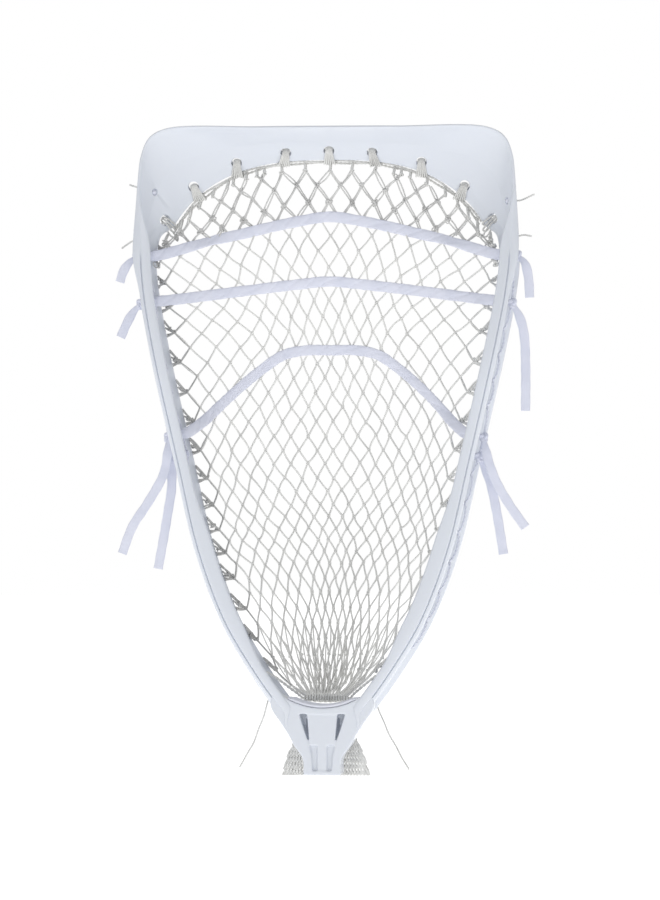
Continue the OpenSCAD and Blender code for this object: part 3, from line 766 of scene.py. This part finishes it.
def net_point(k, j):
    """Place of the node in column k (-OUTER to OUTER) of half row j, counted down from the scoop. The rows
    are level across the head, and closer together at the sides than in the middle high up."""
    z = row_z[j]
    if z > LEVEL_Z:
        z = LEVEL_Z + (z - LEVEL_Z) * lerp(1, SIDE_SHARE, smooth((abs(k) - 1.5) / 4.5))
    width = wide_x if z > spring_z else float(np.interp(z, edge_z, edge_x))
    clear = CLEAR * smooth((z - 70) / 60) * (1 - smooth((z - spring_z + 12) / 30))
    x = (width - clear) * across_part(k, z)
    return np.array([x, pocket_y(x, z), z])


def net_nodes():
    """Every node's place, slightly off its ideal one, by column and half row."""
    nodes = {}
    for j in range(ROWS + 1):
        for k in np.arange(0.5 * (j % 2) - OUTER, OUTER + 0.25):
            p = net_point(k, j)
            if 0 < j < ROWS and abs(k) < OUTER:
                p[[0, 2]] += rng.normal(0, 0.6, 2)
                p[1] = pocket_y(p[0], p[2]) + rng.normal(0, 0.25)
            nodes[(k, j)] = p
    return nodes


def knot_loop(b, c, face, size, radius, turns=2, sides=5):
    """A small hitch: a few turns of cord round the crossing."""
    up = np.array([0, 0, 1.0])
    side = unit(np.cross(up, face))
    up = np.cross(face, side)
    t = np.linspace(0, 2 * np.pi * turns, 9 * turns + 1)
    path = (c + np.outer(np.cos(t), side) * size * 0.62 + np.outer(np.sin(t), face) * size * 0.5
            + np.outer((t / t[-1] - 0.5) * size * 1.5, up))
    b.tube(path, radius, sides)


def top_string_z(x):
    return 437 - 32 * (abs(x) / 134) ** 1.3


def cord_between(b, p, q, radius, slack):
    """A short run of cord that strays a little from the straight line."""
    t = np.linspace(0, 1, 5)
    b.tube(p + np.outer(t, q - p) + np.outer(np.sin(np.pi * t), rng.normal(0, slack, 3)), radius, 6)


def tangle(b, c, size, loops):
    """A fuzzy knot: small loops of cord drawn up together in different directions."""
    t = np.linspace(0, 2 * np.pi, 12, endpoint=False)
    for _ in range(loops):
        u = unit(rng.normal(0, 1, 3))
        w = unit(np.cross(u, rng.normal(0, 1, 3)))
        r = size * rng.uniform(0.55, 1.0)
        b.tube(c + rng.normal(0, 0.5, 3) + np.outer(np.cos(t) * r, u) + np.outer(np.sin(t) * r * 0.55, w),
               0.5, 5, closed=True)


def net():
    """The net, the doubled cords of its top rows, and the points where it meets the scoop."""
    b, double = Builder(), Builder()
    nodes, ties = net_nodes(), []
    inside = {key: p[2] < top_edge(p[0]) - 1.5 for key, p in nodes.items()}
    for (k, j), p in nodes.items():
        for step in ((-0.5, 1), (0.5, 1), (-0.5, -1), (0.5, -1)):
            key = (k + step[0], j + step[1])
            if key not in nodes or not inside[(k, j)] or (step[1] < 0 and inside[key]):
                continue
            q = nodes[key]
            if not inside[key]:
                low, high = 0.0, 1.0
                for _ in range(12):
                    t = (low + high) / 2
                    c = p + (q - p) * t
                    low, high = (t, high) if c[2] < top_edge(c[0]) else (low, t)
                q = p + (q - p) * low
                q[1] = pocket_y(q[0], q[2])
                if all(np.linalg.norm(q - o) > 4.5 for o in ties):
                    ties.append(q)
            middle = (p + q) / 2
            if middle[2] > top_string_z(middle[0]) + 3:
                for off in (-0.8, 0.8):
                    cord_between(double, p + [off, 0, 0.5 * off], q + [off, 0, -0.5 * off], 0.66, 0.5)
            else:
                cord_between(b, p, q, CORD_R, 0.4)
        below = nodes.get((k, j + 2))
        if below is not None and p[2] < BUNCHED_Z - 2 and abs(k) < OUTER:
            cord_between(b, p + [0.5, 0, 0], below + [0.5, 0, 0], 0.62, 0.7)
            if p[2] < 96:
                tangle(b, p, 1.7, 2)
        if inside[(k, j)] and 0 < j < ROWS and abs(k) < OUTER:
            above = p[2] - top_string_z(p[0])
            if above > 3:
                tangle(double, p, 2.4 if above > 22 else 3.3, 4)
            else:
                knot_loop(b, p, pocket_face(p[0], p[2]), 1.55, 0.62)
    return b.object("net", NET, 70), double.object("net_top", TIES, 70), nodes, ties


net_object, net_top, nodes, ties = net()
attach(net_object, "head", "mesh", "mesh_pocket")
attach(net_top, "head", "mesh")


# ---- strings -------------------------------------------------------------------------------------
def twisted(b, path, strand, gap, pitch, strands=2, sides=6, phase=0.0, step=1.6):
    """Cord laid up from strands that twist round each other."""
    path = np.asarray(path, float)
    s = lengths(path)
    fine = np.arange(0, s[-1], step)
    p = np.stack([np.interp(fine, s, path[:, i]) for i in range(3)], 1)
    d = directions(p)
    n = np.empty_like(p)
    cur = np.array([0.0, -1.0, 0.0])
    for i in range(len(p)):
        cur = unit(cur - (cur @ d[i]) * d[i])
        n[i] = cur
    bi = np.cross(d, n)
    for k in range(strands):
        a = 2 * np.pi * (fine / pitch + k / strands) + phase
        b.tube(p + gap * (n * np.cos(a)[:, None] + bi * np.sin(a)[:, None]), strand, sides)


def sidewall_string(side):
    b, hitches = Builder(), Builder()
    inside, outside = -4.4, 4.2
    n = len(CORD_HEIGHTS)
    for parity in (1, 0):
        pts = []
        for i, z in enumerate(CORD_HEIGHTS):
            outwards = i % 2 == parity
            first, last = (inside, outside) if outwards else (outside, inside)
            if i > 0:
                pts.append(place_at(z - 5, first, CORD_V + (1 - parity) * 1.6 - 0.8))
            pts += [place_at(z, first * 0.5, CORD_V), place_at(z, last * 0.5, CORD_V)]
            if i < n - 1:
                pts.append(place_at(z + 5, last, CORD_V + (1 - parity) * 1.6 - 0.8))
        path = np.array([sided(side, p) for p in through(pts, 3)])
        twisted(b, path, 0.62, 0.5, 7, phase=parity)
    # the net's side nodes are hitched to the cord, each with a spread of turns
    for j in range(0, ROWS + 1, 2):
        p = nodes[(OUTER * side, j)]
        if p[2] > spring_z - 3 or p[2] < 74:
            continue
        half_base = 5.5 * smooth((p[2] - 60) / 60) + 1
        for off in (-1.0, -0.75, 0.75, 1.0, 0.1):
            q = sided(side, place_at(min(p[2] + off * half_base, 388), -9.6, CORD_V - 6))
            cord_between(hitches, p, q, 0.8, 0.35)
        tangle(hitches, lerp(p, q, 0.15), 2.2, 5)
        tangle(hitches, lerp(p, q, 0.6), 2.2, 3)
        for dj in (-1, 1):
            n = nodes.get(((OUTER - 0.5) * side, j + dj))
            if n is not None and n[2] < top_edge(n[0]):
                cord_between(hitches, p - [0, 0.9, 0], n - [0, 0.9, 0], 0.62, 0.3)
    # the net's bunched corner below the scoop
    for z in np.arange(398, 424, 4.5):
        x = float(np.interp(z, edge_z, edge_x)) - 2.5
        tangle(hitches, np.array([side * x, pocket_y(x, z), z]), 3.2, 4)
    # cords that fill the small holes of the loose ends
    for z, v in ((CORNER_Z, CORNER_V), (LEFT_SCOOP_Z if side < 0 else RIGHT_SCOOP_Z, SIDE_V)):
        plug = [sided(side, place_at(z, u, v)) for u in (-2.3, -0.8, 0.4, 1.3)]
        b.tube(plug, [1.2, 2.1, 2.1, 1.7], 12)
    name = "right" if side > 0 else "left"
    attach(b.object("sidewall_cord_" + name, WHITE_CORD, 70), "head", "cord", "sidewall_string_" + name)
    # the left side's hitches take the darker cord, painted shade of the left wall; the right side's take
    # the net cord
    attach(hitches.object("net_hitches_" + name, NET if side > 0 else HITCH_PAINTED_SHADE, 70), "head", "cord")


for side in (-1, 1):
    sidewall_string(side)


def top_string():
    b = Builder()
    spots = [(1, x) for x in SCOOP_HOLES[:0:-1]] + [(1, 0)] + [(-1, x) for x in SCOOP_HOLES[1:]]
    # wraps through each scoop hole and over the edge of the sheet
    for side, x in spots:
        r = min(ring_at_width(x), LAST_RING)
        turns = 3 if abs(x) > 110 else 6
        for i in range(turns):
            s = (i / (turns - 1) - 0.5) * 2
            t = np.linspace(0, 2 * np.pi, 22, endpoint=False)
            low, high = -4.2 + 0.5 * rng.normal(), SCOOP_V + 1.1 - 0.9 * abs(s)
            v = (low + high) / 2 + (high - low) / 2 * np.cos(t)
            thick = T2 + 1.25 + 0.25 * rng.normal()
            u = thick * np.clip(1.6 * np.sin(t), -1, 1)
            spread = np.interp(v, [low, high], [4.4, 2.1])
            path = np.array([sided(side, place(r, ui, vi)) for ui, vi in zip(u, v)])
            edge_x_dir, edge_z_dir = at(out_dir, r)
            path = path + np.outer(s * spread, sided(side, (edge_x_dir, 0, edge_z_dir)))
            b.tube(path, 0.72, 6, closed=True)
    # two cords that run along under the edge, from wrap to wrap
    xs = np.linspace(-124, 124, 90)
    for v0, wob in ((-2.2, 0.0), (-4.6, 1.3)):
        path = []
        for x in xs:
            r = min(ring_at_width(abs(x)), LAST_RING)
            sway = 0.7 * math.sin(x * 0.17 + wob * 2)
            path.append(sided(1 if x > 0 else -1, place(r, 0.2 + 0.3 * wob, v0 + sway)))
        twisted(b, through(np.array(path)[::2], 3), 0.6, 0.5, 6.5, phase=wob)
    # hitches that hold the net to those cords
    for p in ties:
        q = sided(1 if p[0] > 0 else -1, place(min(ring_at_width(abs(p[0])), LAST_RING), 0.3, -3.4))
        t = np.linspace(0, 2 * np.pi, 14, endpoint=False)
        mid, span = (p + q) / 2, (q - p) / 2
        reach = span * (1 + 1.8 / max(np.linalg.norm(span), 0.5))
        loop = mid + np.outer(np.cos(t), reach) + np.outer(np.sin(t), [0.5, 1.5, 0])
        b.tube(loop, 0.62, 5, closed=True)
        tangle(b, p, 2.0, 2)
    return b.object("scoop_cord", STRING, 70)


attach(top_string(), "head", "cord", "top_string")


def bottom_string():
    b = Builder()
    side = [place_at(BOTTOM_CORD_Z, 1, CORD_V), place_at(BOTTOM_CORD_Z, -5, CORD_V),
            (24, 13.5, 63.5), (16, 22.5, 57)]
    pts = [np.array(p) for p in side] + [sided(-1, p) for p in side[::-1]]
    path = through(pts, 3)
    twisted(b, path, 0.7, 0.6, 8)
    # gathered row: the lowest nodes bound in with close turns
    for x in np.linspace(-16.5, 16.5, 17):
        c = np.array([x, 21.2 + 0.4 * rng.normal(), 58.6])
        t = np.linspace(0, 2 * np.pi, 14, endpoint=False)
        turn = c + np.outer(np.cos(t), [0.25, 2.3, 0]) + np.outer(np.sin(t), [0, 0, 2.6])
        b.tube(turn, 0.72, 6, closed=True)
    return b.object("throat_cord", NET, 70)


attach(bottom_string(), "head", "cord", "bottom_string")


# ---- shooting strings ------------------------------------------------------------------------------
def middle_string_z(x):
    return 386 - 17 * (abs(x) / 134) ** 1.2


def lower_string_z(x):
    return 332 - 66 * (max(0, abs(x) - 28) / 80) ** 1.35


def lace_band(b, path, faces, width=8.6, thick=2.9, pitch=18.0, ends=10.0):
    """Laces twisted into one soft band: nearly flat, with shallow slanted creases."""
    s = lengths(path)
    fine = np.arange(0, s[-1], 0.9)
    p = np.stack([np.interp(fine, s, path[:, i]) for i in range(3)], 1)
    f = np.stack([np.interp(fine, s, faces[:, i]) for i in range(3)], 1)
    d = directions(p)
    f = unit(f - np.sum(f * d, 1, keepdims=True) * d)
    side = np.cross(d, f)
    a = np.linspace(0, 2 * np.pi, 28, endpoint=False)
    across = np.sign(np.cos(a)) * np.abs(np.cos(a)) ** 0.85
    through_band = np.sign(np.sin(a)) * np.abs(np.sin(a)) ** 0.75
    pts = []
    for i, at_s in enumerate(fine):
        near = smooth(min(at_s, fine[-1] - at_s) / ends)
        drift = at_s / pitch + 0.22 * math.sin(at_s * 0.071) + 0.12 * math.sin(at_s * 0.19 + 1)
        turn = (drift + 0.42 * across * np.where(through_band > 0, 1, -1)) % 1 - 0.5
        crease = np.exp(-(turn / 0.10) ** 2)
        swell = 1 + 0.05 * np.cos(2 * np.pi * turn)
        w = lerp(2.6, width / 2, near) * swell * (1 - 0.10 * crease)
        h = lerp(1.9, thick / 2, near) * (1 - 0.42 * crease)
        pts.append(p[i] + np.outer(across * w, side[i]) + np.outer(through_band * h, f[i]))
    b.rings(np.array(pts), fine / 10)


def shooting_string(name, hole_z, reach, height, node, pitch):
    b = Builder()
    ends = [place_at(hole_z, u, LACE_V + v) for u, v in ((-0.2, 0), (-4.6, 0), (-8.5, 0.8))]
    middle = []
    for i in range(17):
        x = reach * math.sin(math.radians(90 * (1 - 2 * i / 16)))
        z = height(x)
        lift = 1.2 + 1.6 * (abs(x) / reach) ** 6
        middle.append(np.array([x, pocket_y(x, z), z]) + pocket_face(x, z) * lift)
    path = through(ends + middle + [sided(-1, p) for p in ends[::-1]], 3)
    ahead = np.array([0, -1.0, 0])
    faces = np.array([lerp(ahead, pocket_face(p[0], p[2]), smooth((reach + 2 - abs(p[0])) / 20))
                      for p in path])
    lace_band(b, path, faces, pitch=pitch)
    if node == "shooting_string_lower":
        for side in (-1, 1):
            q = through([place_at(247, u, LACE_V) for u in (-0.2, -4.6, -7.6)], 1.5)
            q = np.array([sided(side, p) for p in q])
            lace_band(b, q, np.tile([0, -1.0, 0], (len(q), 1)), 5.5, 3, ends=2)
    return attach(b.object(name, LACE, 60), "head", "lace", node)


shooting_string("shooting_lace_top", 405, 127, top_string_z, "shooting_string_top", 18)
shooting_string("shooting_lace_middle", 367, 127, middle_string_z, "shooting_string_middle", 17)
shooting_string("shooting_lace_lower", 262, 98, lower_string_z, "shooting_string_lower", 19)


# ---- loose ends ------------------------------------------------------------------------------------
def overhand(b, c, size, radius, tilt):
    """An overhand knot drawn up tight."""
    t = np.linspace(0, 2 * np.pi, 56, endpoint=False)
    x = np.sin(t) + 2 * np.sin(2 * t)
    y = np.cos(t) - 2 * np.cos(2 * t)
    z = -np.sin(3 * t)
    p = np.stack([x, z * 0.9, y], 1) * size / 6
    ca, sa = math.cos(tilt), math.sin(tilt)
    p = p @ np.array([[ca, 0, sa], [0, 1, 0], [-sa, 0, ca]])
    b.tube(c + p, radius, 8, closed=True)


def flat_ends(width, thick, n=18):
    """Cross-section of a flat woven lace: rolled edges and a slightly hollow middle."""
    a = np.linspace(0, 2 * np.pi, n, endpoint=False)
    x = np.sign(np.cos(a)) * np.abs(np.cos(a)) ** 0.75 * width / 2
    y = np.sign(np.sin(a)) * np.abs(np.sin(a)) ** 0.6 * thick / 2
    return np.stack([x, y * (1 - 0.25 * (1 - (2 * x / width) ** 2))], 1)


def lace_tail(name, side, hole_z, offsets, twist=0.0):
    b = Builder()
    knot = place_at(hole_z, 5.6, LACE_V)
    path = np.array([sided(side, p) for p in through([knot + np.array(q, float) for q in offsets], 1.5)])
    s = lengths(path)
    part = s / s[-1]
    faces = np.stack([np.sin(twist * part), -np.cos(twist * part), 0 * part], 1)
    ripple = 0.10 * np.sin(s * 0.35 + side)
    path = path + np.stack([0 * s, ripple, 0 * s], 1)

    def section(i):
        w = lerp(3.4, 7.3 + 0.2 * math.sin(s[i] * 0.5), smooth(s[i] / 14))
        return flat_ends(w, lerp(2.2, 1.35, smooth(s[i] / 10)))

    b.band(path, faces, section)
    overhand(b, sided(side, knot), 6.4, 1.55, 0.4 * side)
    # the short neck of the knot, back into its hole
    inner = [sided(side, place_at(hole_z, u, LACE_V)) for u in (0.6, 2.4, 5.0)]
    b.tube(through(inner, 1), 1.7, 10)
    return attach(b.object(name + "_end", LACE, 60), name, "lace", name)


def cord_tail(name, side, knot, offsets, radius=0.8):
    b = Builder()
    path = np.array([sided(side, p) for p in through([knot + np.array(q, float) for q in offsets], 1.5)])
    s = lengths(path)
    path[:, 0] += 0.25 * np.sin(s * 0.3)
    twisted(b, path, radius * 0.62, radius * 0.5, 4.5, strands=3, sides=5)
    overhand(b, sided(side, knot), 3.6, 0.8, 0.3)
    return attach(b.object(name + "_end", STRING, 60), name, "cord", name)


lace_tail("top_lace_tail_left", -1, 405, [(0, 0, 0), (5, -3, -4), (10, -3.5, -11), (13, -3.5, -20)])
lace_tail("top_lace_tail_right", 1, 405, [(0, 0, 0), (6, -3, -6), (9, -3.5, -17), (10, -3.5, -33)])
lace_tail("middle_lace_tail_left", -1, 367, [(0, 0, 0), (5, -0.5, -5), (10, -1, -13), (16, -0.6, -26)])
lace_tail("middle_lace_tail_right", 1, 367,
          [(0, 0, 0), (3, -0.5, -5), (7, -1, -14), (9.5, -0.5, -26), (10.5, 0.4, -50), (10.5, -0.4, -84)])
lace_tail("lower_lace_tail_left_outer", -1, 262,
          [(0, 0, 0), (0, -5, -11), (3, -5, -28), (15, -5, -50), (28, -5, -70), (36, -5, -91)])
lace_tail("lower_lace_tail_left_inner", -1, 247,
          [(0, 0, 0), (1, 2, -8), (1.5, 2.5, -26), (4, 2.5, -42), (7, 2.5, -60), (12, 2.5, -88)])
lace_tail("lower_lace_tail_right_outer", 1, 262,
          [(0, 0, 0), (2, -4, -10), (5, -5, -21), (11, -5, -36), (21, -5, -53), (33, -5, -70)])
lace_tail("lower_lace_tail_right_inner", 1, 247,
          [(0, 0, 0), (3, 2, -6), (8, 2.5, -18), (13, 2.5, -40), (19, 2.5, -76)])
cord_tail("scoop_cord_tail_left", -1, place_at(LEFT_SCOOP_Z, 4.6, SIDE_V),
          [(0, 0, 0), (5, 0, 2), (17, 0, 6)])
cord_tail("scoop_cord_tail_right", 1, place_at(RIGHT_SCOOP_Z, 4.6, SIDE_V),
          [(0, 0, 0), (5, 0, 0), (17, 0, 5)])
cord_tail("corner_cord_tail_left", -1, place_at(CORNER_Z, 4.6, CORNER_V),
          [(0, 0, 0), (5, 0, -2), (13, 0, -8)])
cord_tail("corner_cord_tail_right", 1, place_at(CORNER_Z, 4.6, CORNER_V),
          [(0, 0, 0), (5, 0, 2), (13, 0, 1)])
cord_tail("bottom_cord_tail_left", -1, place_at(64, -2, -3.2),
          [(0, 0, 0), (1, 1, -10), (6.5, 1.5, -28), (14.5, 1.5, -48), (25, 1.5, -66)])
cord_tail("bottom_cord_tail_right", 1, place_at(60, -2, -3.2),
          [(0, 0, 0), (-1.5, 1, -8), (1.5, 1.5, -19), (9, 1.5, -36), (24, 1.5, -63)])


# ---- mesh tail: the net's gathered end, hanging behind the neck --------------------------------------
def mesh_tail():
    b = Builder()
    tail_z, tail_x = [-3, 14, 36, 54], [35, 30.3, 19.4, 11]
    for y, cells, phase in ((17.9, 26, 0.0), (18.5, 24, 0.5), (19.1, 26, 0.3)):
        rows = 12
        zs = np.linspace(54, -2.4, rows + 1)
        for j in range(rows):
            for k in range(cells + 1):
                for dk in (-1, 1):
                    a, c = k + (j % 2) * 0.5 + phase, k + (j % 2) * 0.5 + 0.5 * dk + phase
                    xa, xc = (np.clip(2 * q / (cells + 1) - 1, -1, 1) for q in (a, c))
                    wa, wc = np.interp(zs[j], tail_z, tail_x), np.interp(zs[j + 1], tail_z, tail_x)
                    p0 = np.array([xa * wa, y + 0.25 * math.sin(k * 1.7 + j), zs[j]])
                    p1 = np.array([xc * wc, y - 0.25 * math.sin(k * 1.3 + j), zs[j + 1]])
                    if np.linalg.norm(p1 - p0) > 1:
                        b.tube(np.array([p0, (p0 + p1) / 2, p1]), 0.5, 5)
    return b.object("mesh_gather", NET, 70)


attach(mesh_tail(), "mesh_tail", "mesh", "mesh_tail")

# ---- stage, light and camera -------------------------------------------------------------------------
aim = Vector((0.0049, 0.0, 0.2527))


def stage_floor():
    """A pale floor, wide enough to fill the view from every side."""
    z, r = cad_box[0][2] - 0.12, 9.0
    angles = np.linspace(0, 2 * np.pi, 64, endpoint=False)
    me = bpy.data.meshes.new("stage")
    me.from_pydata([(r * math.cos(a), r * math.sin(a), z) for a in angles], [], [tuple(range(64))])
    n = Nodes("stage_white")
    n.set("Base Color", (0.9, 0.9, 0.9, 1))
    n.set("Roughness", 1.0)
    n.set("Emission Color", (1, 1, 1, 1))
    n.set("Emission Strength", 0.75)
    me.materials.append(n.mat)
    ob = bpy.data.objects.new("stage", me)
    bpy.context.scene.collection.objects.link(ob)


def area(name, location, size, power, target=aim, size_y=None):
    """A soft light, turned to the head or to a target of its own."""
    light = bpy.data.lights.new(name, "AREA")
    light.energy = power
    light.size = size
    if size_y:
        light.shape, light.size_y = "RECTANGLE", size_y
    ob = bpy.data.objects.new(name, light)
    ob.location = location
    ob.rotation_euler = (target - Vector(location)).to_track_quat("-Z", "Y").to_euler()
    bpy.context.scene.collection.objects.link(ob)


stage_floor()
area("key", (-1.2, -2.0, 1.3), 1.6, 5)
area("fill", (1.9, -1.5, 0.3), 1.6, 1.8)
area("strip", (1.25, -1.1, 0.75), 0.2, 1.0, size_y=1.3)
area("back", (0.0, 1.2, 2.4), 2.4, 12, Vector((0, 1.2, 0)))
world = bpy.data.worlds.new("studio")
world.use_nodes = True
background = world.node_tree.nodes["Background"]
background.inputs[0].default_value = (1, 1, 1, 1)
# the surroundings look white, and light the head more softly than that
path = world.node_tree.nodes.new("ShaderNodeLightPath")
strength = world.node_tree.nodes.new("ShaderNodeMapRange")
strength.inputs["To Min"].default_value, strength.inputs["To Max"].default_value = 0.50, 1.0
world.node_tree.links.new(path.outputs["Is Camera Ray"], strength.inputs["Value"])
world.node_tree.links.new(strength.outputs["Result"], background.inputs[1])
bpy.context.scene.world = world
bpy.context.scene.view_settings.view_transform = "Standard"

camera = bpy.data.cameras.new("camera")
camera.lens = 200
camera.clip_end = 50
eye = bpy.data.objects.new("camera", camera)
bpy.context.scene.collection.objects.link(eye)
distance = 0.702 * camera.lens / 36
yaw = math.radians(5.4)
eye.location = aim + Vector((math.sin(yaw), -math.cos(yaw), 0)) * distance
eye.rotation_euler = (aim - eye.location).to_track_quat("-Z", "Y").to_euler()
bpy.context.scene.camera = eye
